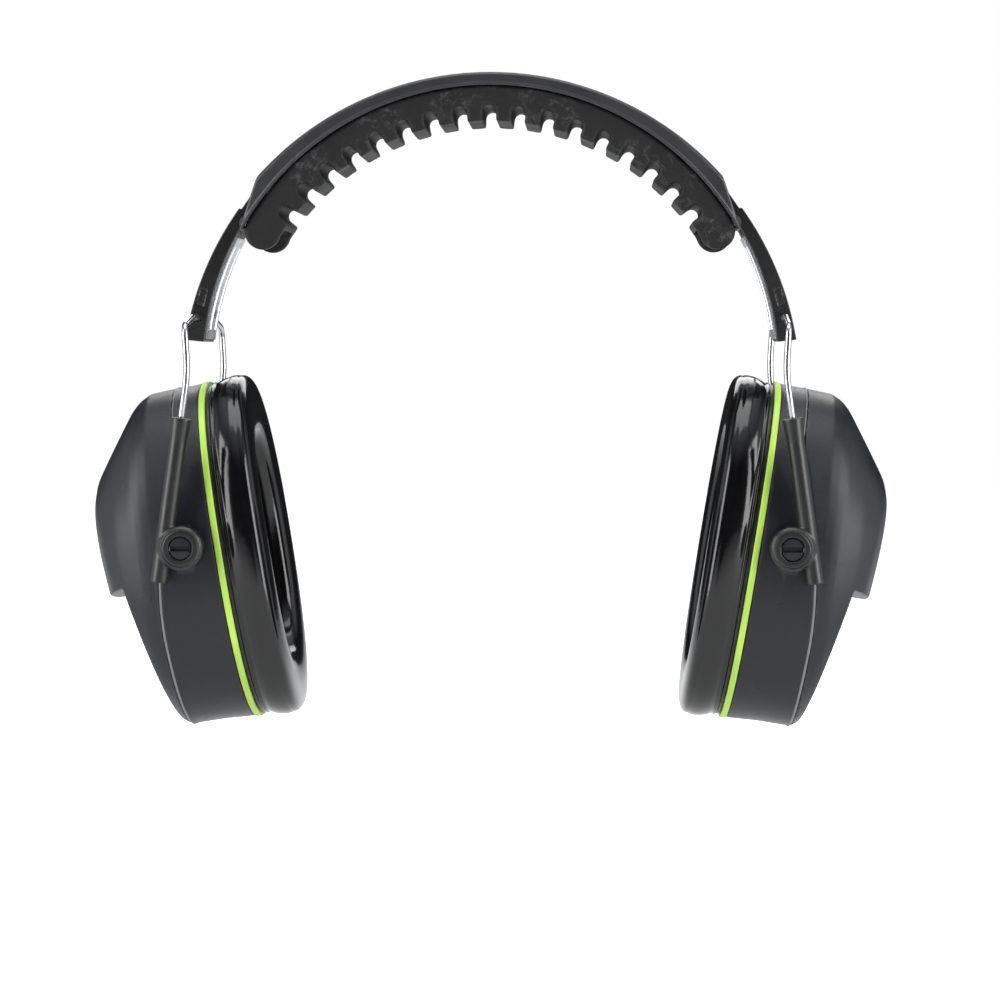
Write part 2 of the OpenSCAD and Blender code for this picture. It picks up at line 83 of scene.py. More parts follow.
# %% Camera
camera_data = bpy.data.cameras.new("studio_camera")
camera_data.lens = 108.9
camera_data.sensor_width = 36.0
camera = bpy.data.objects.new("studio_camera", camera_data)
camera.location = (0.0346, -0.96, 0.0616)
aim = Vector((0.0028, 0.0, 0.0156))
camera.rotation_euler = (aim - camera.location).to_track_quat("-Z", "Y").to_euler()
bpy.context.collection.objects.link(camera)
bpy.context.scene.camera = camera
bpy.context.scene.view_settings.view_transform = "Standard"
side_angle = math.degrees(math.atan2(camera.location.x - aim.x, aim.y - camera.location.y))
print("camera looks", round(side_angle, 1), "degrees from the front")


# %% Lights and world
def soft_box(name, place, target, width, height, watts):
    """A rectangular area light that faces a point."""
    light = bpy.data.lights.new(name, "AREA")
    light.shape = "RECTANGLE"
    light.size = width
    light.size_y = height
    light.energy = watts
    box = bpy.data.objects.new(name, light)
    box.location = place
    box.rotation_euler = (Vector(target) - Vector(place)).to_track_quat("-Z", "Y").to_euler()
    bpy.context.collection.objects.link(box)


soft_box("left_soft_box", (-0.85, -0.50, 0.25), (0, 0, 0.03), 0.55, 1.00, 10.0)
soft_box("right_soft_box", (0.85, -0.50, 0.25), (0, 0, 0.03), 0.55, 1.00, 11.0)
soft_box("top_soft_box", (0.0, -0.10, 1.00), (0, 0, 0.05), 0.90, 0.60, 4.5)
soft_box("back_soft_box", (0.0, 1.00, 0.60), (0, 0, 0.05), 0.90, 0.50, 4.0)

world = bpy.data.worlds.new("pale_room")
bpy.context.scene.world = world
world.use_nodes = True
world_nodes = world.node_tree.nodes
world_links = world.node_tree.links
room = world_nodes["Background"]
room.inputs["Color"].default_value = (0.93, 0.96, 1.0, 1)
look = world_nodes.new("ShaderNodeTexCoord")
look_parts = world_nodes.new("ShaderNodeSeparateXYZ")
sideways = world_nodes.new("ShaderNodeMath")
sideways.operation = "ABSOLUTE"
side_or_above = world_nodes.new("ShaderNodeMath")
side_or_above.operation = "MAXIMUM"
pale_sides = world_nodes.new("ShaderNodeMapRange")
pale_sides.interpolation_type = "SMOOTHSTEP"
pale_sides.inputs["From Min"].default_value = 0.55
pale_sides.inputs["From Max"].default_value = 1.0
pale_sides.inputs["To Min"].default_value = 0.02
pale_sides.inputs["To Max"].default_value = 0.95
world_links.new(look.outputs["Generated"], look_parts.inputs["Vector"])
world_links.new(look_parts.outputs["X"], sideways.inputs[0])
world_links.new(sideways.outputs["Value"], side_or_above.inputs[0])
world_links.new(look_parts.outputs["Z"], side_or_above.inputs[1])
world_links.new(side_or_above.outputs["Value"], pale_sides.inputs["Value"])
world_links.new(pale_sides.outputs["Result"], room.inputs["Strength"])
sweep_light = world_nodes.new("ShaderNodeBackground")
sweep_light.inputs["Color"].default_value = (1, 1, 1, 1)
sweep_light.inputs["Strength"].default_value = 1.0
seen_directly = world_nodes.new("ShaderNodeLightPath")
room_or_sweep = world_nodes.new("ShaderNodeMixShader")
world_links.new(seen_directly.outputs["Is Camera Ray"], room_or_sweep.inputs["Fac"])
world_links.new(room.outputs["Background"], room_or_sweep.inputs[1])
world_links.new(sweep_light.outputs["Background"], room_or_sweep.inputs[2])
world_links.new(room_or_sweep.outputs["Shader"], world_nodes["World Output"].inputs["Surface"])

# %% [markdown]
# ## Shader groups that several materials share
# Moulded plastic, rubber and vinyl all show the same few effects at different strengths: a fine
# grain from the mould, patches where the finish is a little shinier, edges that have been rubbed
# pale, and a little dust on what faces up. Each effect is one node group with named sockets, so a
# material only says how much of it it wants. All of them read object coordinates in metres, which
# need no UV map and keep their real size on every piece.


# %% Node helpers
def add_node(tree, kind, **values):
    """A node of one kind. Values are given by socket name, or by attribute name."""
    made = tree.nodes.new("ShaderNode" + kind)
    for name, value in values.items():
        socket = made.inputs.get(name.replace("_", " "))
        if socket is not None:
            socket.default_value = value
        else:
            setattr(made, name, value)
    return made


def new_group(name, inputs, outputs):
    """An empty shader group: inputs are {name: default value}, outputs are names."""
    group = bpy.data.node_groups.new(name, "ShaderNodeTree")
    for socket, value in inputs.items():
        made = group.interface.new_socket(socket, in_out="INPUT", socket_type="NodeSocketFloat")
        made.default_value = value
    for socket in outputs:
        group.interface.new_socket(socket, in_out="OUTPUT", socket_type="NodeSocketFloat")
    source = group.nodes.new("NodeGroupInput")
    result = group.nodes.new("NodeGroupOutput")
    return group, source, result


def place_group(tree, group, **values):
    """One use of a group in a material, with its own values."""
    made = tree.nodes.new("ShaderNodeGroup")
    made.node_tree = group
    for name, value in values.items():
        made.inputs[name.replace("_", " ")].default_value = value
    return made


# %% Mould grain and shiny patches
mould_grain, source, result = new_group(
    "mould_grain", {"Grain per metre": 5000.0, "Patches per metre": 60.0}, ["Height", "Patches"]
)
where = add_node(mould_grain, "TexCoord")
pits = add_node(mould_grain, "TexNoise", Detail=2.0, Roughness=0.6)
patches = add_node(mould_grain, "TexNoise", Detail=3.0, Roughness=0.55)
for texture, scale in ((pits, "Grain per metre"), (patches, "Patches per metre")):
    mould_grain.links.new(where.outputs["Object"], texture.inputs["Vector"])
    mould_grain.links.new(source.outputs[scale], texture.inputs["Scale"])
mould_grain.links.new(pits.outputs["Fac"], result.inputs["Height"])
mould_grain.links.new(patches.outputs["Fac"], result.inputs["Patches"])

# %% Rubbed edges
rubbed_edges, source, result = new_group(
    "rubbed_edges", {"Edge": 0.53, "Spots per metre": 400.0}, ["Mask"]
)
shape = add_node(rubbed_edges, "NewGeometry")
sharp = add_node(rubbed_edges, "MapRange", From_Max=0.62)
where = add_node(rubbed_edges, "TexCoord")
spots = add_node(rubbed_edges, "TexNoise", Detail=4.0)
broken = add_node(rubbed_edges, "MapRange", From_Min=0.42, From_Max=0.62)
mask = add_node(rubbed_edges, "Math", operation="MULTIPLY")
rubbed_edges.links.new(shape.outputs["Pointiness"], sharp.inputs["Value"])
rubbed_edges.links.new(source.outputs["Edge"], sharp.inputs["From Min"])
rubbed_edges.links.new(where.outputs["Object"], spots.inputs["Vector"])
rubbed_edges.links.new(source.outputs["Spots per metre"], spots.inputs["Scale"])
rubbed_edges.links.new(spots.outputs["Fac"], broken.inputs["Value"])
rubbed_edges.links.new(sharp.outputs["Result"], mask.inputs[0])
rubbed_edges.links.new(broken.outputs["Result"], mask.inputs[1])
rubbed_edges.links.new(mask.outputs["Value"], result.inputs["Mask"])

# %% Dust on what faces up
settled_dust, source, result = new_group(
    "settled_dust", {"Specks per metre": 900.0}, ["Mask"]
)
shape = add_node(settled_dust, "NewGeometry")
upward = add_node(settled_dust, "SeparateXYZ")
facing = add_node(settled_dust, "MapRange", From_Min=0.35, From_Max=1.0)
where = add_node(settled_dust, "TexCoord")
specks = add_node(settled_dust, "TexNoise", Detail=6.0, Roughness=0.7)
thick = add_node(settled_dust, "MapRange", From_Min=0.5, From_Max=0.72)
mask = add_node(settled_dust, "Math", operation="MULTIPLY")
settled_dust.links.new(shape.outputs["Normal"], upward.inputs["Vector"])
settled_dust.links.new(upward.outputs["Z"], facing.inputs["Value"])
settled_dust.links.new(where.outputs["Object"], specks.inputs["Vector"])
settled_dust.links.new(source.outputs["Specks per metre"], specks.inputs["Scale"])
settled_dust.links.new(specks.outputs["Fac"], thick.inputs["Value"])
settled_dust.links.new(facing.outputs["Result"], mask.inputs[0])
settled_dust.links.new(thick.outputs["Result"], mask.inputs[1])
settled_dust.links.new(mask.outputs["Value"], result.inputs["Mask"])

# %% Handling marks
handling_marks, source, result = new_group(
    "handling_marks", {"Marks per metre": 650.0}, ["Mask"]
)
where = add_node(handling_marks, "TexCoord")
drawn_out = add_node(handling_marks, "Mapping", Scale=(0.45, 1.0, 0.45))
wisps = add_node(handling_marks, "TexNoise", Detail=8.0, Roughness=0.78, Distortion=0.5)
thin = add_node(handling_marks, "MapRange", From_Min=0.50, From_Max=0.78)
patch = add_node(handling_marks, "TexNoise", Scale=55.0, Detail=1.0)
some = add_node(handling_marks, "MapRange", From_Min=0.44, From_Max=0.60)
mask = add_node(handling_marks, "Math", operation="MULTIPLY")
handling_marks.links.new(where.outputs["Object"], drawn_out.inputs["Vector"])
handling_marks.links.new(where.outputs["Object"], patch.inputs["Vector"])
handling_marks.links.new(drawn_out.outputs["Vector"], wisps.inputs["Vector"])
handling_marks.links.new(source.outputs["Marks per metre"], wisps.inputs["Scale"])
handling_marks.links.new(wisps.outputs["Fac"], thin.inputs["Value"])
handling_marks.links.new(patch.outputs["Fac"], some.inputs["Value"])
handling_marks.links.new(thin.outputs["Result"], mask.inputs[0])
handling_marks.links.new(some.outputs["Result"], mask.inputs[1])
handling_marks.links.new(mask.outputs["Value"], result.inputs["Mask"])

# %% [markdown]
# Wire is drawn through a die and strip is rolled, so a metal's faint lines run one way. They are
# noise that is stretched along one axis. Foam is a mass of burst bubbles, which a Voronoi texture
# gives: the walls between its cells stay high, and the middles of the cells sink and are painted
# darker, as painted shade inside the pores.

# %% Drawn lines
drawn_lines, source, result = new_group(
    "drawn_lines", {"Lines per metre": 2500.0, "X": 1.0, "Y": 1.0, "Z": 1.0}, ["Lines"]
)
where = add_node(drawn_lines, "TexCoord")
stretch = add_node(drawn_lines, "CombineXYZ")
stretched = add_node(drawn_lines, "VectorMath", operation="MULTIPLY")
lines = add_node(drawn_lines, "TexNoise", Detail=3.0)
for axis in ("X", "Y", "Z"):
    drawn_lines.links.new(source.outputs[axis], stretch.inputs[axis])
drawn_lines.links.new(where.outputs["Object"], stretched.inputs[0])
drawn_lines.links.new(stretch.outputs["Vector"], stretched.inputs[1])
drawn_lines.links.new(stretched.outputs["Vector"], lines.inputs["Vector"])
drawn_lines.links.new(source.outputs["Lines per metre"], lines.inputs["Scale"])
drawn_lines.links.new(lines.outputs["Fac"], result.inputs["Lines"])

# %% Foam cells
foam_cells, source, result = new_group("foam_cells", {"Cells per metre": 1200.0}, ["Walls"])
where = add_node(foam_cells, "TexCoord")
bubbles = add_node(foam_cells, "TexVoronoi")
walls = add_node(foam_cells, "MapRange", From_Min=0.15, From_Max=0.75)
foam_cells.links.new(where.outputs["Object"], bubbles.inputs["Vector"])
foam_cells.links.new(source.outputs["Cells per metre"], bubbles.inputs["Scale"])
foam_cells.links.new(bubbles.outputs["Distance"], walls.inputs["Value"])
foam_cells.links.new(walls.outputs["Result"], result.inputs["Walls"])
print("shader groups:", [group.name for group in bpy.data.node_groups])

# %% [markdown]
# ## The finishes
# One function mixes a base colour with the shared effects, and every moulded finish is a call of
# it. Satin plastic scatters its reflection in a wide patch, rubber nearly loses it, and vinyl
# keeps it sharp, so the roughness says most about what each piece is made of.


# %% A moulded finish
dust_colour = (0.45, 0.44, 0.42)
tone_spread = 0.12


def moulded_finish(
    name, colour, worn_colour, roughness, patch_depth, grain, bump,
    wear=0.3, dust=0.1, marks=0.0, shine=0.5
):
    """A plastic, rubber or vinyl material: grain per metre, bump in metres, the rest as shares."""
    material = bpy.data.materials.new(name)
    material.use_nodes = True
    tree = material.node_tree
    shader = tree.nodes["Principled BSDF"]
    shader.inputs["Specular IOR Level"].default_value = shine
    skin = place_group(tree, mould_grain, Grain_per_metre=grain)
    edges = place_group(tree, rubbed_edges)
    dusty = place_group(tree, settled_dust)
    rubbed = place_group(tree, handling_marks)

    shade = add_node(tree, "MapRange", From_Min=0.3, From_Max=0.7)
    tone = add_node(tree, "Mix", data_type="RGBA")
    tone.inputs["A"].default_value = (*[(1 - tone_spread) * channel for channel in colour], 1)
    tone.inputs["B"].default_value = (*[(1 + tone_spread) * channel for channel in colour], 1)
    tree.links.new(skin.outputs["Patches"], shade.inputs["Value"])
    tree.links.new(shade.outputs["Result"], tone.inputs["Factor"])

    last = tone.outputs["Result"]
    layers = (
        (edges, wear, worn_colour),
        (rubbed, marks, worn_colour),
        (dusty, dust, dust_colour),
    )
    for group, share, layer_colour in layers:
        amount = add_node(tree, "Math", operation="MULTIPLY")
        amount.inputs[1].default_value = share
        layer = add_node(tree, "Mix", data_type="RGBA")
        layer.inputs["B"].default_value = (*layer_colour, 1)
        tree.links.new(group.outputs["Mask"], amount.inputs[0])
        tree.links.new(amount.outputs["Value"], layer.inputs["Factor"])
        tree.links.new(last, layer.inputs["A"])
        last = layer.outputs["Result"]
    tree.links.new(last, shader.inputs["Base Color"])

    gloss = add_node(
        tree, "MapRange",
        From_Min=0.3, From_Max=0.7, To_Min=roughness - patch_depth, To_Max=roughness + patch_depth
    )
    tree.links.new(skin.outputs["Patches"], gloss.inputs["Value"])
    tree.links.new(gloss.outputs["Result"], shader.inputs["Roughness"])

    relief = add_node(tree, "Bump", Strength=1.0, Distance=bump)
    tree.links.new(skin.outputs["Height"], relief.inputs["Height"])
    tree.links.new(relief.outputs["Normal"], shader.inputs["Normal"])
    return material


cup_satin = moulded_finish(
    "cup_satin", (0.010, 0.011, 0.014), (0.09, 0.09, 0.095), 0.34, 0.07, 4500, 0.00006,
    wear=0.35, dust=0.05, shine=0.36
)
shell_satin = moulded_finish(
    "shell_satin", (0.024, 0.024, 0.026), (0.13, 0.13, 0.135), 0.34, 0.05, 4500, 0.00004,
    wear=0.45, dust=0.06
)
arm_satin = moulded_finish(
    "arm_satin", (0.007, 0.007, 0.0075), (0.06, 0.06, 0.065), 0.32, 0.05, 5000, 0.00003,
    dust=0.05
)
lime_satin = moulded_finish(
    "lime_satin", (0.38, 0.59, 0.085), (0.60, 0.80, 0.28), 0.42, 0.04, 5000, 0.00002,
    wear=0.20, dust=0.0
)
pad_rubber = moulded_finish(
    "pad_rubber", (0.0035, 0.0035, 0.004), (0.13, 0.13, 0.135), 0.62, 0.10, 2500, 0.00010,
    wear=0.2, marks=0.8, shine=0.34
)
cushion_vinyl = moulded_finish(
    "cushion_vinyl", (0.003, 0.003, 0.0035), (0.02, 0.02, 0.022), 0.13, 0.03, 700, 0.00002,
    wear=0.1, dust=0.03
)
print("moulded finishes:", [material.name for material in bpy.data.materials if material.use_nodes])

# %% [markdown]
# The yoke's wire is chromed, the strip is zinc-plated and the spring is plain steel. All three are
# full metals: their colour comes only from what they mirror, so the drawn lines change the gloss
# much more than the tone, and they are far too shallow to bend a reflection.


# %% Plated steel
line_depth = 0.002 * mm


def plated_finish(name, colour, roughness, lines, stretch):
    """A metal with so many lines per metre, stretched by (x, y, z)."""
    material = bpy.data.materials.new(name)
    material.use_nodes = True
    tree = material.node_tree
    shader = tree.nodes["Principled BSDF"]
    shader.inputs["Metallic"].default_value = 1.0
    along = dict(zip("XYZ", stretch))
    drawn = place_group(tree, drawn_lines, Lines_per_metre=lines, **along)
    edges = place_group(tree, rubbed_edges)
    gloss = add_node(
        tree, "MapRange",
        From_Min=0.3, From_Max=0.7, To_Min=0.85 * roughness, To_Max=1.2 * roughness
    )
    tone = add_node(tree, "Mix", data_type="RGBA")
    tone.inputs["A"].default_value = (*[0.95 * channel for channel in colour], 1)
    tone.inputs["B"].default_value = (*colour, 1)
    worn = add_node(tree, "Mix", data_type="RGBA")
    worn.inputs["B"].default_value = (*[min(1.0, 1.1 * channel) for channel in colour], 1)
    relief = add_node(tree, "Bump", Strength=0.3, Distance=line_depth)
    tree.links.new(drawn.outputs["Lines"], gloss.inputs["Value"])
    tree.links.new(drawn.outputs["Lines"], tone.inputs["Factor"])
    tree.links.new(drawn.outputs["Lines"], relief.inputs["Height"])
    tree.links.new(edges.outputs["Mask"], worn.inputs["Factor"])
    tree.links.new(tone.outputs["Result"], worn.inputs["A"])
    tree.links.new(worn.outputs["Result"], shader.inputs["Base Color"])
    tree.links.new(gloss.outputs["Result"], shader.inputs["Roughness"])
    tree.links.new(relief.outputs["Normal"], shader.inputs["Normal"])
    return material


yoke_chrome = plated_finish("yoke_chrome", (0.50, 0.50, 0.51), 0.22, 3000, (1.0, 1.0, 0.06))
strip_zinc = plated_finish("strip_zinc", (0.90, 0.91, 0.92), 0.30, 2500, (0.3, 1.0, 0.05))
spring_steel = plated_finish("spring_steel", (0.60, 0.61, 0.63), 0.28, 2500, (0.05, 1.0, 0.3))


# %% Open foam
def foam_finish(name, pore_shade_colour, wall_colour, cells):
    """Open-cell foam, with so many cells to the metre, and painted shade in the middles of its cells.
    """
    material = bpy.data.materials.new(name)
    material.use_nodes = True
    tree = material.node_tree
    shader = tree.nodes["Principled BSDF"]
    foam = place_group(tree, foam_cells, Cells_per_metre=cells)
    # Painted shade: the sunken middles of the cells take the darker colour, for the shade inside the
    # pores.
    tone = add_node(tree, "Mix", data_type="RGBA")
    tone.inputs["A"].default_value = (*pore_shade_colour, 1)
    tone.inputs["B"].default_value = (*wall_colour, 1)
    gloss = add_node(tree, "MapRange", To_Min=1.0, To_Max=0.82)
    relief = add_node(tree, "Bump", Strength=1.0, Distance=0.0006)
    tree.links.new(foam.outputs["Walls"], tone.inputs["Factor"])
    tree.links.new(foam.outputs["Walls"], gloss.inputs["Value"])
    tree.links.new(foam.outputs["Walls"], relief.inputs["Height"])
    tree.links.new(tone.outputs["Result"], shader.inputs["Base Color"])
    tree.links.new(gloss.outputs["Result"], shader.inputs["Roughness"])
    tree.links.new(relief.outputs["Normal"], shader.inputs["Normal"])
    return material


cup_foam = foam_finish("cup_foam", (0.012, 0.012, 0.013), (0.075, 0.075, 0.08), 1100)
seal_foam = foam_finish("seal_foam", (0.10, 0.10, 0.095), (0.30, 0.30, 0.29), 1400)

# %% [markdown]
# ## Tools for the pieces
# Every piece is a mesh in the CAD frame's coordinates, with its object at the origin. The left side
# is made first, and the right side is the same mesh seen in a mirror, because the real moulds are
# mirrored pairs too.


# %% Meshes, modifiers and the other side
def mesh_piece(name, points, faces):
    """A smooth-shaded mesh object from points and faces."""
    mesh = bpy.data.meshes.new(name)
    mesh.from_pydata([tuple(point) for point in points], [], faces)
    mesh.update()
    mesh.shade_smooth()
    piece = bpy.data.objects.new(name, mesh)
    bpy.context.collection.objects.link(piece)
    return piece


def points_of(piece):
    """The piece's points as rows of x, y, z."""
    return np.array([vertex.co for vertex in piece.data.vertices])


def move_points(piece, points):
    """Puts the piece's points at new places."""
    piece.data.vertices.foreach_set("co", np.asarray(points, dtype=np.float32).ravel())
    piece.data.update()


def apply_modifiers(piece):
    """The piece's modifiers become its mesh."""
    ready = piece.evaluated_get(bpy.context.evaluated_depsgraph_get())
    mesh = bpy.data.meshes.new_from_object(ready)
    piece.modifiers.clear()
    piece.data = mesh
    mesh.shade_smooth()
    return piece


def combine(piece, other, operation):
    """Joins another closed mesh to the piece, or cuts it away, and drops it."""
    tool = piece.modifiers.new(operation.lower(), "BOOLEAN")
    tool.operation = operation
    tool.solver = "EXACT"
    tool.object = other
    apply_modifiers(piece)
    bpy.data.objects.remove(other)
    return piece


def even_skin(piece, cell, passes):
    """One even skin of square cells, smoothed so that its edges are rounded like a moulding's."""
    skin = piece.modifiers.new("skin", "REMESH")
    skin.mode = "VOXEL"
    skin.voxel_size = cell
    skin.use_smooth_shade = True
    ease = piece.modifiers.new("ease", "SMOOTH")
    ease.factor = 0.5
    ease.iterations = passes
    return apply_modifiers(piece)


def thinned(piece, share):
    """Keeps a share of the faces, where the surface needs them."""
    fewer = piece.modifiers.new("fewer", "DECIMATE")
    fewer.ratio = share
    return apply_modifiers(piece)


def cad_copy(node, name):
    """A closed copy of a CAD node's mesh to work on."""
    mesh = frame["nodes"][node].data.copy()
    shape = bmesh.new()
    shape.from_mesh(mesh)
    bmesh.ops.remove_doubles(shape, verts=shape.verts, dist=0.001 * mm)
    clean = bpy.data.meshes.new(name)
    shape.to_mesh(clean)
    shape.free()
    piece = bpy.data.objects.new(name, clean)
    bpy.context.collection.objects.link(piece)
    return piece


def other_side(piece):
    """The same piece for the wearer's right."""
    mesh = piece.data.copy()
    twin = bpy.data.objects.new(piece.name.replace("left_", "right_"), mesh)
    bpy.context.collection.objects.link(twin)
    mesh.transform(Matrix.Scale(-1, 4, (1, 0, 0)))
    mesh.flip_normals()
    return twin


def fit(piece, material, body, slot, *nodes):
    """Gives a piece its finish and its body, and hides the CAD nodes that it stands for."""
    piece.data.materials.clear()
    piece.data.materials.append(material)
    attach(piece, body)
    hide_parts(*nodes)
    box = [round(size / mm, 1) for size in piece.dimensions]
    print(f"{piece.name}: {len(piece.data.polygons)} faces, {box} mm")


def fit_both(piece, material, body, slot, node):
    """Fits a left piece and its mirrored twin."""
    pair = [piece, other_side(piece)]
    for side in pair:
        prefix = side.name.split("_")[0] + "_"
        fit(side, material, prefix + body, slot, prefix + node)
    return pair


# %% [markdown]
# ## The ear cup's frame
# The cup hangs a little tilted, so its own pieces are drawn in the cup's frame: u is the depth
# away from the head, y runs front to rear, and v is the height. The tilt is that of the ear
# seal's mount, and the middle of the trim ring is the frame's origin. The outline of every ring is
# a superellipse, which is fuller than an ellipse at its corners.

# %% Cup frame and rings
seal_axis = Vector(mounts["left_ear_seal"]["axis"])
cup_tilt = math.atan2(seal_axis.z, -seal_axis.x)
ring_low, ring_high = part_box("left_trim_ring")
ring_centre = (ring_low + ring_high) / 2
cup_height = 107 * mm
cup_width = 82.8 * mm
cup_depth = 40.2 * mm
oval_power = 2.35
ring_points = 144


def from_cup(u, y, v):
    """A point of the cup's frame, or rows of them, in the CAD frame."""
    x = ring_centre.x + u * math.cos(cup_tilt) + v * math.sin(cup_tilt)
    z = ring_centre.z - u * math.sin(cup_tilt) + v * math.cos(cup_tilt)
    return np.stack(np.broadcast_arrays(x, y, z), axis=-1)


def oval(high, low, half_width):
    """The outline's heights and places front to rear, all round."""
    turn = np.linspace(0, 2 * math.pi, ring_points, endpoint=False)
    rise = np.sign(np.sin(turn)) * np.abs(np.sin(turn)) ** (2 / oval_power)
    reach = np.sign(np.cos(turn)) * np.abs(np.cos(turn)) ** (2 / oval_power)
    return rise * np.where(rise > 0, high, low), reach * half_width


def ring(u_high, u_low, high, low, half_width):
    """A ring whose depth runs evenly from its lowest point to its highest."""
    v, y = oval(high, low, half_width)
    share = (v + low) / (high + low)
    return from_cup(u_low + (u_high - u_low) * share, y, v)


def even_ring(u, outset):
    """A ring at one depth, by its distance outside the trim ring's outline."""
    return ring(u, u, cup_height / 2 + outset, cup_height / 2 + outset, cup_width / 2 + outset)


def loft(name, rings, closed):
    """A skin through a row of rings. It is capped at both ends unless it closes on itself."""
    count = len(rings)
    size = len(rings[0])
    faces = []
    for row in range(count if closed else count - 1):
        here = row * size
        there = (row + 1) % count * size
        for column in range(size):
            side = (column + 1) % size
            faces.append((here + column, there + column, there + side, here + side))
    if not closed:
        faces.append(tuple(range(size)))
        faces.append(tuple((count - 1) * size + column for column in reversed(range(size))))
    piece = mesh_piece(name, np.concatenate(rings), faces)
    shape = bmesh.new()
    shape.from_mesh(piece.data)
    bmesh.ops.recalc_face_normals(shape, faces=shape.faces)
    shape.to_mesh(piece.data)
    shape.free()
    return piece


print("cup tilt:", round(math.degrees(cup_tilt), 1), "degrees; ring centre:", ring_centre)

# %% [markdown]
# ## The cup's hood
# The outer half of the cup is one deep moulding with a hood over its lower face. It is lofted
# through a short row of stations, each a depth and a height at the top, the same at the bottom,
# and a half width. The stations are joined by straight runs, then eased, which keeps the narrow
# soft band round the hood's face. A cutter takes away what lies below the hood, and an even skin
# over the result rounds every edge by the same small radius, as a polished mould does.

# %% Hood stations
cover_stations = np.array([
    [0.440, 0.988, 0.575, 0.968, 0.990],
    [0.525, 0.957, 0.605, 0.945, 0.981],
    [0.595, 0.907, 0.660, 0.900, 0.965],
    [0.775, 0.720, 0.780, 0.740, 0.885],
    [0.935, 0.550, 0.850, 0.580, 0.780],
    [0.985, 0.450, 0.905, 0.450, 0.660],
    [1.000, 0.284, 0.925, 0.262, 0.420],
])
station_sizes = np.array([cup_depth, cup_height / 2, cup_depth, cup_height / 2, cup_width / 2])
top_draft = 0.2 * mm
body_draft = 0.011 * cup_height / 2
seam_high = cup_height / 2 - top_draft
seam_low = cup_height / 2 - body_draft
seam_shallow = 0.232
seam_swing = 0.296
seam_bend_start = 0.67
seam_bend_span = 1.16


def seam_depth(v):
    """Depth of the seam between the cup's body and its hood, at a height."""
    bend = np.clip((seam_bend_start - 2 * v / cup_height) / seam_bend_span, 0, 1)
    return cup_depth * (seam_shallow + seam_swing * np.sin(math.pi / 2 * bend))


def seam_ring(inset, deeper=0.0):
    """The seam's own ring, inside the cup's outline by an inset."""
    v, y = oval(seam_high - inset, seam_low - inset, cup_width / 2 - inset)
    return from_cup(seam_depth(v) + deeper, y, v)


def eased_stations(steps, passes):
    """The stations with steps between them, and their corners eased."""
    rows = [cover_stations[0]]
    for start, end in zip(cover_stations[:-1], cover_stations[1:]):
        rows += [start + (end - start) * step / steps for step in range(1, steps + 1)]
    rows = np.array(rows)
    for _ in range(passes):
        rows[1:-1] = (rows[:-2] + 2 * rows[1:-1] + rows[2:]) / 4
    return rows * station_sizes


# %% Hood
wall = 2.4 * mm
hood_edge_v = -9.4 * mm
hood_step = 6.4 * mm
hood_dome = 2.8 * mm
hood_edge_radius = 150 * mm
low_corner_u = 0.6 * cup_depth
low_corner_v = -0.885 * cup_height / 2
under_hood_u = cup_depth - hood_step - hood_dome
face_slope = (under_hood_u - low_corner_u) / (hood_edge_v - low_corner_v)


def under_hood_depth(v):
    """Depth of the flat face below the hood, at a height."""
    return low_corner_u + face_slope * (v - low_corner_v)


def hood_cutter():
    """All that lies beyond the flat face and below the hood's curved edge."""
    y = np.linspace(-cup_width, cup_width, 81)
    edge = hood_edge_v + hood_edge_radius - np.sqrt(hood_edge_radius ** 2 - y ** 2)
    low = np.full_like(y, -cup_height)
    far = np.full_like(y, 2 * cup_depth)
    rows = [
        from_cup(under_hood_depth(edge), y, edge),
        from_cup(far, y, edge),
        from_cup(far, y, low),
        from_cup(under_hood_depth(low), y, low),
    ]
    points = np.stack(rows, axis=1)
    return loft("hood_cutter", list(points), closed=False)


stations = eased_stations(8, 4)
hood_rings = [seam_ring(0)]
for high_u, high, low_u, low, half_width in stations:
    hood_rings.append(ring(high_u, low_u, high, low, half_width))
hood = loft("left_cup_hood", hood_rings, closed=False)
combine(hood, hood_cutter(), "DIFFERENCE")
even_skin(hood, 0.5 * mm, 3)
print("hood skin:", len(hood.data.polygons), "faces")

# %% [markdown]
# The cup is hollow, for the foam that soaks up the sound. The cavity is a smaller loft through
# the same stations, a wall's thickness inside them, and it is cut out after the outer skin has
# been thinned, because nobody sees it.

# %% Hollow of the hood
thinned(hood, 0.45)
hollow_rows = 7
hollow_stations = eased_stations(2, 0)[:hollow_rows]
hollow_rings = [seam_ring(wall, -2 * mm), seam_ring(wall)]
for high_u, high, low_u, low, half_width in hollow_stations:
    low_v = low - wall
    low_u = min(low_u, under_hood_depth(-low_v))
    hollow_rings.append(ring(high_u - wall, low_u - wall, high - wall, low_v, half_width - wall))
cap_high_v = 0.5 * cup_height / 2
cap_low_v = 0.66 * cup_height / 2
cap_half_width = 0.72 * cup_width / 2
cap_high_u = min(0.86 * cup_depth, under_hood_depth(cap_high_v) - wall)
cap_low_u = under_hood_depth(-cap_low_v) - wall
hollow_rings.append(ring(cap_high_u, cap_low_u, cap_high_v, cap_low_v, cap_half_width))
combine(hood, loft("hood_hollow", hollow_rings, closed=False), "DIFFERENCE")
fit_both(hood, cup_satin, "cup", "cup_plastic", "cup_cover")

# %% [markdown]
# ## The cup's body and its pivot studs
# The body is the short wall between the trim ring and the seam. Its rim carries a raised bead,
# which catches the light as a pale line down the side of the cup, and is given a painted
# highlight as well. Front and rear stand the pivot studs: each is turned as a profile about its
# own axis, and a slot is cut across its head for a screwdriver. Each is skinned on its own with small
# cells, so its edges stay crisp.

# %% Cup body
trim_thickness = 1.9 * mm
rim = 0.35 * mm


def body_ring(share, inset):
    """A ring between the trim ring, share 0, and the seam, share 1."""
    start = trim_thickness / 2
    draft = min(1.0, 2 * share)
    high = cup_height / 2 - draft * top_draft - inset
    low = cup_height / 2 - draft * body_draft - inset
    v, y = oval(high, low, cup_width / 2 - inset)
    return from_cup(start + share * (seam_depth(v) - start), y, v)


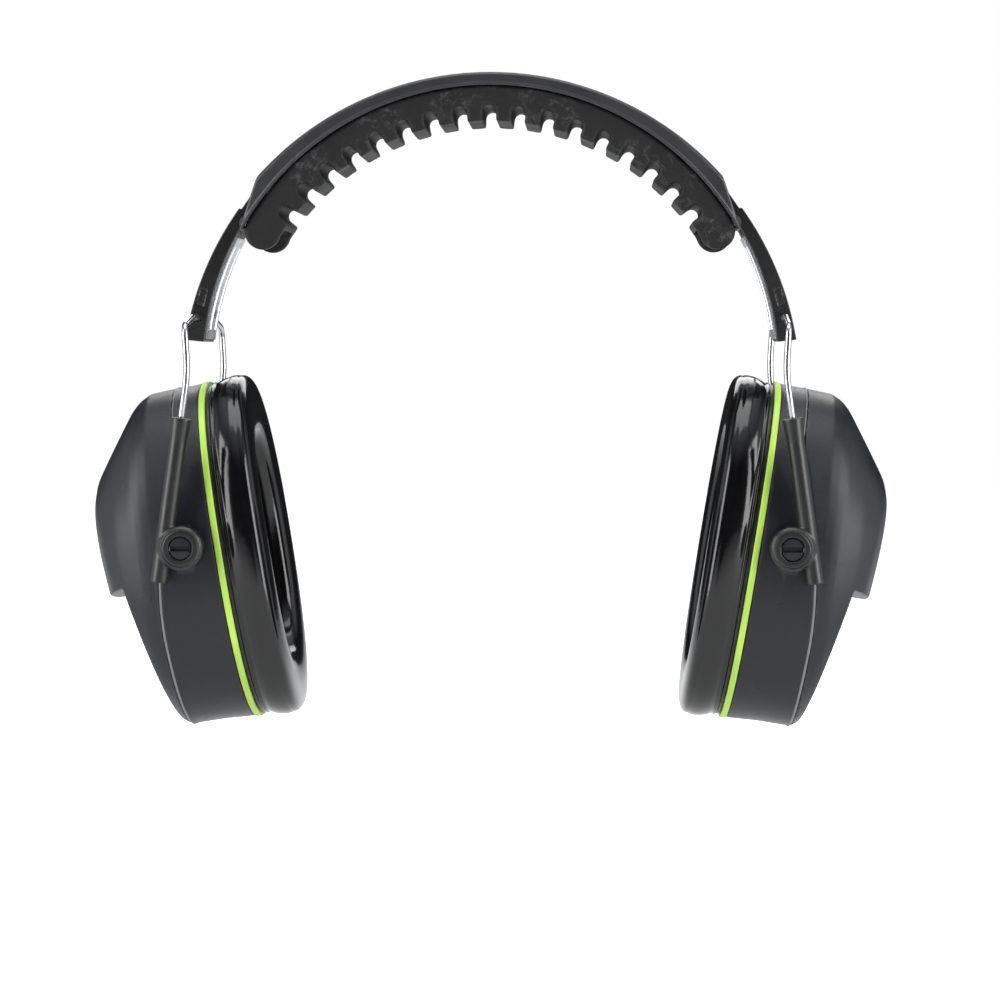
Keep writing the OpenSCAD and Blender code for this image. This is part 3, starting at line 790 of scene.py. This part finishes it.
bead_proud = 0.25 * mm
outer_wall = [body_ring(0, rim)] + [body_ring(share, 0) for share in np.linspace(0.04, 0.955, 14)]
bead = [body_ring(0.965, -bead_proud), body_ring(0.99, -bead_proud), body_ring(1.0, 0)]
inner_wall = [body_ring(share, wall) for share in (0.98, 0.5, 0.02)]
cup_body = loft("left_cup_wall", outer_wall + bead + inner_wall, closed=True)

# %% Pivot studs
tilt_joint = joints["left_cup_tilt"]
pivot = Vector(tilt_joint["pos_m"])
disc_face_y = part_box("left_rear_guide")[1].y
stud_r = 3.1 * mm
stud_head_r = 3.6 * mm
boss_r = 5.6 * mm


def turned(name, profile, y_sign, sides=48, closed=False):
    """A shape turned about the pivot's axis: the profile is radius and distance out from the middle."""
    turn = np.linspace(0, 2 * math.pi, sides, endpoint=False)
    rings = []
    for radius, distance in profile:
        x = pivot.x + radius * np.cos(turn)
        z = pivot.z + radius * np.sin(turn)
        y = np.full_like(x, y_sign * distance)
        rings.append(np.stack([x, y, z], axis=-1))
    return loft(name, rings, closed)


def box_piece(name, centre, size):
    """A plain box, to cut with."""
    half = np.array(size) / 2
    corners = [(x, y, z) for x in (-1, 1) for y in (-1, 1) for z in (-1, 1)]
    faces = [(0, 1, 3, 2), (4, 6, 7, 5), (0, 4, 5, 1), (2, 3, 7, 6), (0, 2, 6, 4), (1, 5, 7, 3)]
    return mesh_piece(name, np.array(centre) + np.array(corners) * half, faces)


slot_size = (9 * mm, 3.4 * mm, 1.6 * mm)
for y_sign in (-1, 1):
    root_y = cup_width / 2 - wall - 0.5 * mm
    boss_top = cup_width / 2 + 0.6 * mm
    head_y = disc_face_y - 1.5 * mm
    profile = [
        (boss_r, root_y), (boss_r, boss_top - 0.3 * mm), (boss_r - 0.3 * mm, boss_top),
        (stud_r, boss_top), (stud_r, head_y), (stud_head_r, head_y),
        (stud_head_r, disc_face_y - 0.8 * mm), (stud_head_r - 0.4 * mm, disc_face_y - 0.45 * mm),
        (1.5 * mm, disc_face_y - 0.3 * mm),
    ]
    stud = turned("stud", profile, y_sign)
    slot_centre = (pivot.x, y_sign * (disc_face_y - 0.3 * mm), pivot.z)
    combine(stud, box_piece("slot", slot_centre, slot_size), "DIFFERENCE")
    even_skin(stud, 0.14 * mm, 1)
    thinned(stud, 0.4)
    combine(cup_body, stud, "UNION")
cup_walls = fit_both(cup_body, cup_satin, "cup", "cup_plastic", "cup_body")

# %% [markdown]
# The bead is painted paler than the wall, a painted highlight for the glint that its raised edge
# catches. Its faces are those that lie close to the seam and stand out from the cup's outline.

# %% Seam line, with a painted highlight
# Painted highlight: a pale finish that stands in for the light caught along the seam bead.
seam_pale = moulded_finish(
    "seam_pale", (0.15, 0.15, 0.155), (0.22, 0.22, 0.225), 0.42, 0.04, 4500, 0.00003,
    dust=0.0
)
seam_reach = 0.7 * mm
outside_outline = 1.001
for cup_wall in cup_walls:
    cup_wall.data.materials.append(seam_pale)
    for face in cup_wall.data.polygons:
        x = abs(face.center.x) - ring_centre.x
        z = face.center.z - ring_centre.z
        u = x * math.cos(cup_tilt) - z * math.sin(cup_tilt)
        v = x * math.sin(cup_tilt) + z * math.cos(cup_tilt)
        half_height = seam_high if v > 0 else seam_low
        fullness = (abs(v) / half_height) ** oval_power
        fullness += (abs(face.center.y) / (cup_width / 2)) ** oval_power
        if u > seam_depth(v) - seam_reach and fullness > outside_outline:
            # These faces take the pale finish, the painted highlight along the bead.
            face.material_index = 1
print("pale seam faces:", sum(face.material_index for face in cup_wall.data.polygons))

# %% [markdown]
# ## The trim ring and the seal's plate
# The lime ring snaps into the cup's mouth, and the ear seal's plate snaps into the ring. Both are
# plain rings with a small radius on each visible edge, lofted straight from their sections.

# %% Trim ring and plate
trim_proud = 0.3 * mm
half_trim = trim_thickness / 2
edge = 0.3 * mm
trim_section = [
    (half_trim, trim_proud - edge), (half_trim - 0.3 * edge, trim_proud - 0.3 * edge),
    (half_trim - edge, trim_proud), (0, trim_proud), (edge - half_trim, trim_proud),
    (0.3 * edge - half_trim, trim_proud - 0.3 * edge), (-half_trim, trim_proud - edge),
    (-half_trim, -6 * mm), (half_trim, -6 * mm),
]
trim = loft("left_lime_ring", [even_ring(u, out) for u, out in trim_section], closed=True)
fit_both(trim, lime_satin, "cup", "lime_plastic", "trim_ring")

plate_thickness = 1.4 * mm
plate_u = -half_trim - plate_thickness
plate_section = [
    (-half_trim, -0.8 * mm), (plate_u + 0.2 * mm, -0.8 * mm), (plate_u, -1.0 * mm),
    (plate_u, -15 * mm), (-half_trim, -15 * mm),
]
plate = loft("left_seal_plate", [even_ring(u, out) for u, out in plate_section], closed=True)
fit_both(plate, arm_satin, "cup", "arm_plastic", "cushion_plate")

# %% [markdown]
# ## The ear cushion
# The cushion is a ring of soft foam in a welded vinyl skin. Its flange is bonded to the plate and a
# second weld runs round it near the head, and between these lines the skin swells. So the
# skin starts a little slack, its welds are pinned, and the Cloth solver inflates it: that gives the
# uneven fullness that no drawn section has. How far any point may go is capped, so the seal
# keeps its size and stays clear of the trim ring.

# %% Cushion skin
cushion_depth = 12 * mm
cushion_section = [
    (0.00, -1.6), (0.00, -0.5), (0.02, -0.25), (0.06, -0.25), (0.09, -0.6),
    (0.13, -0.5), (0.19, 0.0), (0.27, 0.4), (0.38, 0.75), (0.50, 0.95), (0.60, 0.95),
    (0.67, 0.8), (0.71, 0.5), (0.75, 0.65), (0.81, 0.5), (0.87, 0.0), (0.93, -0.9),
    (0.975, -2.4), (1.00, -4.6), (1.01, -7.5), (1.00, -10.5), (0.98, -13.5), (0.94, -15.8),
    (0.86, -17.4), (0.74, -18.2), (0.55, -18.5), (0.35, -18.4), (0.15, -18.0), (0.00, -17.4),
]
welds = (0, 1, 2, 3, 4, 12, 28)


def cushion_ring(share, outset):
    """A ring of the cushion: share of its depth, and distance outside the cup's outline."""
    return even_ring(plate_u - share * cushion_depth, outset * mm)


def swell(piece, pinned, pressure, cap):
    """The Cloth solver inflates the piece between its pinned points, and no point goes past the cap."""
    scene = bpy.context.scene
    frames = 20
    rest = points_of(piece)
    group = piece.vertex_groups.new(name="welds")
    group.add(pinned, 1.0, "REPLACE")
    cloth = piece.modifiers.new("swell", "CLOTH")
    cloth.settings.vertex_group_mass = "welds"
    cloth.settings.use_pressure = True
    cloth.settings.uniform_pressure_force = pressure
    cloth.settings.effector_weights.gravity = 0
    cloth.settings.tension_stiffness = 8
    cloth.settings.compression_stiffness = 8
    cloth.settings.bending_stiffness = 0.3
    for step in range(1, frames + 1):
        scene.frame_set(step)
    ready = piece.evaluated_get(bpy.context.evaluated_depsgraph_get())
    swollen = np.array([vertex.co for vertex in ready.data.vertices])
    piece.modifiers.clear()
    piece.vertex_groups.clear()
    scene.frame_set(1)
    move = swollen - rest
    length = np.linalg.norm(move, axis=1, keepdims=True)
    move_points(piece, rest + move * np.minimum(1, cap / np.maximum(length, 1e-9)))
    print(f"{piece.name} swells by up to {length.max() / mm:.2f} mm, capped at {cap / mm:.1f} mm")


cushion = loft("left_ear_cushion", [cushion_ring(*place) for place in cushion_section], closed=True)
pinned = [row * ring_points + column for row in welds for column in range(ring_points)]
swell(cushion, pinned, pressure=4.0, cap=0.8 * mm)
finer = cushion.modifiers.new("finer", "SUBSURF")
finer.levels = 1
finer.render_levels = 1
apply_modifiers(cushion)
fit_both(cushion, cushion_vinyl, "cup", "cushion_vinyl", "cushion_cover")

# %% [markdown]
# Inside the skin is the ring of foam that presses it out. It can't be seen, but it is a piece of
# the real seal, so it is made from the same section, drawn in by the skin's thickness.

# %% Cushion foam
draw_in_depth = 0.18
skin_thickness = 1.2
section_half_width = 8
section_middle = (0.5, -8.8)
foam_rings = []
for share, outset in cushion_section:
    share += (section_middle[0] - share) * draw_in_depth
    outset += (section_middle[1] - outset) * skin_thickness / section_half_width
    foam_rings.append(cushion_ring(share, outset))
core = loft("left_cushion_foam_ring", foam_rings, closed=True)
fit_both(core, seal_foam, "cup", "seal_foam", "cushion_foam")

# %% [markdown]
# ## The cup's foam
# A slab of open foam fills the cup behind the ear. It is cut oversize and pushed in, so its rim is
# pinched and its face is gently crowned, with the small hollows that a die-cut slab has.

# %% Cup foam
foam_start = 3.0 * mm
foam_depth = 9 * mm
foam_draft = 0.6 * body_draft
foam_rings = []
for share, outset in ((0.0, 4.6), (0.10, 3.8), (0.3, 3.5), (0.7, 3.5), (0.92, 3.8), (1.0, 4.8)):
    foam_rings.append(even_ring(foam_start + share * foam_depth, -outset * mm - foam_draft))
face_rings = []
for shrink, rise in ((0.86, 0.5), (0.7, 0.9), (0.5, 1.2), (0.3, 1.35), (0.12, 1.4)):
    middle = foam_rings[0].mean(axis=0)
    lift = from_cup(-rise * mm, 0, 0) - from_cup(0, 0, 0)
    face_rings.insert(0, middle + (foam_rings[0] - middle) * shrink + lift)
slab = loft("left_cup_foam_slab", face_rings + foam_rings, closed=False)
hollows = bpy.data.textures.new("foam_hollows", "CLOUDS")
hollows.noise_scale = 9 * mm
dent = slab.modifiers.new("dent", "DISPLACE")
dent.texture = hollows
dent.texture_coords = "LOCAL"
dent.strength = 0.6 * mm
apply_modifiers(slab)
fit_both(slab, cup_foam, "cup", "liner_foam", "cup_liner")

# %% [markdown]
# ## The guide tubes
# Each tube is moulded in one with the disc that turns on the cup's pivot. Where a tube and a disc
# meet, a mould leaves a small fillet, and an even skin over the CAD solid makes one. A shallow
# groove round the disc's face sets off its rim.

# %% Guide tubes
groove_r = 5.5 * mm
for name, y_sign in (("front", -1), ("rear", 1)):
    tube = cad_copy(f"left_{name}_guide", f"left_{name}_guide_tube")
    groove_profile = [
        (groove_r + 0.25 * mm, disc_face_y - 0.3 * mm), (groove_r + 0.3 * mm, disc_face_y + 1 * mm),
        (groove_r - 0.3 * mm, disc_face_y + 1 * mm), (groove_r - 0.25 * mm, disc_face_y - 0.3 * mm),
    ]
    combine(tube, turned("groove", groove_profile, y_sign, sides=72, closed=True), "DIFFERENCE")
    even_skin(tube, 0.22 * mm, 3)
    thinned(tube, 0.4)
    fit_both(tube, arm_satin, "guides", "arm_plastic", f"{name}_guide")

# %% [markdown]
# ## The wire yoke
# The yoke is one length of wire, bent to shape. Its line is a row of straight runs with an arc at
# each corner, and the wire is a round section carried along that line, so its plating mirrors
# the room in long clean streaks.

# %% Yoke line
wire_r = 1.0 * mm
bend_r = 4.0 * mm
crossbar_half = 25.28 * mm
shoulder_slope = math.radians(8)
straight_leg = 47 * mm
kink_reach = 5 * mm
yoke_low, yoke_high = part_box("left_wire_yoke")
leg_y = yoke_high.y - wire_r
tube_way = Vector(joints["left_cup_slide"]["axis"])
crossbar = Vector(joints["left_yoke_swivel"]["pos_m"])
leg_end = Vector((yoke_high.x + wire_r * tube_way.z, 0, yoke_low.z + wire_r * tube_way.x))
kink = leg_end - tube_way * (straight_leg + kink_reach)
leg_way = (kink - crossbar).normalized()
kink_r = kink_reach / math.tan(leg_way.angle(tube_way) / 2)
shoulder = crossbar + leg_way * (leg_y - crossbar_half) * math.tan(shoulder_slope)


def at_y(point, y):
    """The point, at another place front to rear."""
    return Vector((point.x, y, point.z))


def rounded_line(corners, radii, steps):
    """The line through the corners, with an arc of its own radius at each."""
    line = [corners[0]]
    for before, corner, after, radius in zip(corners[:-2], corners[1:-1], corners[2:], radii):
        back = (before - corner).normalized()
        ahead = (after - corner).normalized()
        half = back.angle(ahead) / 2
        middle = corner + (back + ahead).normalized() * radius / math.sin(half)
        start = corner + back * radius / math.tan(half)
        end = corner + ahead * radius / math.tan(half)
        for step in range(steps + 1):
            spoke = (start - middle).slerp(end - middle, step / steps)
            line.append(middle + spoke.normalized() * radius)
    return line + [corners[-1]]


def wire_piece(name, line, radius, sides=20):
    """A round wire along a line, with its frame carried from point to point."""
    rings = []
    side = Vector((1, 0, 0))
    for index, point in enumerate(line):
        ahead = line[min(index + 1, len(line) - 1)]
        behind = line[max(index - 1, 0)]
        way = (ahead - behind).normalized()
        side = (side - way * side.dot(way)).normalized()
        up = way.cross(side)
        turns = [2 * math.pi * step / sides for step in range(sides)]
        rings.append(np.array([
            point + radius * (math.cos(turn) * side + math.sin(turn) * up) for turn in turns
        ]))
    return loft(name, rings, closed=False)


half_yoke = [leg_end, kink, shoulder, crossbar]
half_y = [leg_y, leg_y, leg_y, crossbar_half]
corners = [at_y(point, -y) for point, y in zip(half_yoke, half_y)]
corners += [at_y(point, y) for point, y in reversed(list(zip(half_yoke, half_y)))]
radii = [kink_r, bend_r, bend_r, bend_r, bend_r, kink_r]
yoke = wire_piece("left_yoke_wire", rounded_line(corners, radii, 12), wire_r)
print("wide bend of the yoke legs:", round(kink_r / mm, 1), "mm radius")
fit_both(yoke, yoke_chrome, "yoke", "chrome_wire", "wire_yoke")

# %% [markdown]
# ## The folding arms
# Each arm is a satin moulding over a steel strip. The strip's CAD mesh is already right, beads and
# all, so it only takes a better finish. The moulding gets eased edges, and a shallow frame
# on each side marks the latch that holds the strip.

# %% Arms
arm = cad_copy("left_arm_cover", "left_folding_arm")
latch_angle = math.radians(75.5)
arm_middle_r = 93.6 * mm
band_centre_z = 56.3 * mm
latch = Vector((
    arm_middle_r * math.sin(latch_angle), 0, band_centre_z + arm_middle_r * math.cos(latch_angle)
))
arm_side_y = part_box("left_arm_cover")[1].y
frame_line = 0.55 * mm
long_side = 5.0 * mm
short_side = 2.2 * mm
for y_sign in (-1, 1):
    for along, across, size in (
        (0, short_side / 2, (frame_line, long_side)), (0, -short_side / 2, (frame_line, long_side)),
        (long_side / 2, 0, (short_side + frame_line, frame_line)),
        (-long_side / 2, 0, (short_side + frame_line, frame_line)),
    ):
        tool = box_piece("latch_line", (across, 0, along), (size[0], 0.9 * mm, size[1]))
        tool.data.transform(Matrix.Rotation(latch_angle - math.pi / 2, 4, "Y"))
        tool.data.transform(Matrix.Translation(at_y(latch, y_sign * arm_side_y)))
        combine(arm, tool, "DIFFERENCE")
even_skin(arm, 0.3 * mm, 2)
thinned(arm, 0.4)
fit_both(arm, arm_satin, "arm", "arm_plastic", "arm_cover")

# %% Finishes of the strips, the pins and the spring
for node in frame["nodes"]:
    finish = None
    if node.endswith("arm_strip"):
        finish = strip_zinc
    if node.endswith("fold_pin") or node == "band_spring":
        finish = spring_steel
    if finish is not None:
        frame["nodes"][node].data.materials.clear()
        frame["nodes"][node].data.materials.append(finish)

# %% [markdown]
# ## The headband's shell
# The shell is a channel with the steel spring inside it. Along the lower edge of each side wall
# runs a small bead with a groove above it, which stiffens the wall. The bead is swept along
# the band's arc and joined to the CAD solid before the skin goes over both.

# %% Shell
shell_side_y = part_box("band_shell")[1].y
pad_outer_r = 89 * mm


def arc_sweep(name, section, start, end, centre_z, steps=96):
    """A closed section of radius and y, swept about the band's centre between two angles."""
    rings = []
    for angle in np.linspace(start, end, steps):
        radius = np.array([place[0] for place in section])
        y = np.array([place[1] for place in section])
        rings.append(np.stack([radius * math.sin(angle), y, centre_z + radius * math.cos(angle)], -1))
    return loft(name, rings, closed=False)


shell = cad_copy("band_shell", "headband_shell")
even_skin(shell, 0.42 * mm, 9)
bead_end = math.radians(59.5)
bead_profile = [(0.05, -0.5), (0.05, 0.15), (0.25, 0.35), (0.75, 0.35), (0.95, 0.15), (0.95, -0.5)]
for y_sign in (-1, 1):
    bead_section = [
        (pad_outer_r + rise * mm, y_sign * (shell_side_y + proud * mm)) for rise, proud in bead_profile
    ]
    combine(shell, arc_sweep("bead", bead_section, -bead_end, bead_end, band_centre_z), "UNION")
even_skin(shell, 0.36 * mm, 1)
thinned(shell, 0.35)
fit(shell, shell_satin, "headband", "shell_plastic", "band_shell")

# %% [markdown]
# ## The crown pad
# The pad is soft rubber with a row of notches that let air through over the head. Rubber can't
# hold a sharp edge, so its skin is smoothed more than the plastics', which also flares the mouths
# of the notches a little.

# %% Pad
pad = cad_copy("band_pad", "crown_pad")
even_skin(pad, 0.55 * mm, 5)
thinned(pad, 0.5)
fit(pad, pad_rubber, "headband", "pad_rubber", "band_pad")

# %% [markdown]
# ## The floor
# The earmuff hangs above a white sweep, as it does when a head wears it. The drop leaves room for
# the cups to slide down, and the sweep is wide enough for every side view.

# %% Floor
floor_drop = 60 * mm
floor_half = 3.0
floor_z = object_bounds()[0].z - floor_drop
floor = mesh_piece("white_sweep", [
    (-floor_half, -floor_half, floor_z), (floor_half, -floor_half, floor_z),
    (floor_half, floor_half, floor_z), (-floor_half, floor_half, floor_z),
], [(0, 1, 2, 3)])
floor_paint = bpy.data.materials.new("white_floor")
floor_paint.use_nodes = True
floor_shader = floor_paint.node_tree.nodes["Principled BSDF"]
floor_shader.inputs["Base Color"].default_value = (0.7, 0.7, 0.7, 1)
floor_shader.inputs["Roughness"].default_value = 0.9
floor_shader.inputs["Emission Color"].default_value = (1, 1, 1, 1)
floor_lit = add_node(floor_paint.node_tree, "LightPath")
floor_glow = add_node(floor_paint.node_tree, "MapRange", To_Min=0.20, To_Max=0.92)
floor_paint.node_tree.links.new(floor_lit.outputs["Is Camera Ray"], floor_glow.inputs["Value"])
floor_paint.node_tree.links.new(floor_glow.outputs["Result"], floor_shader.inputs["Emission Strength"])
floor.data.materials.append(floor_paint)
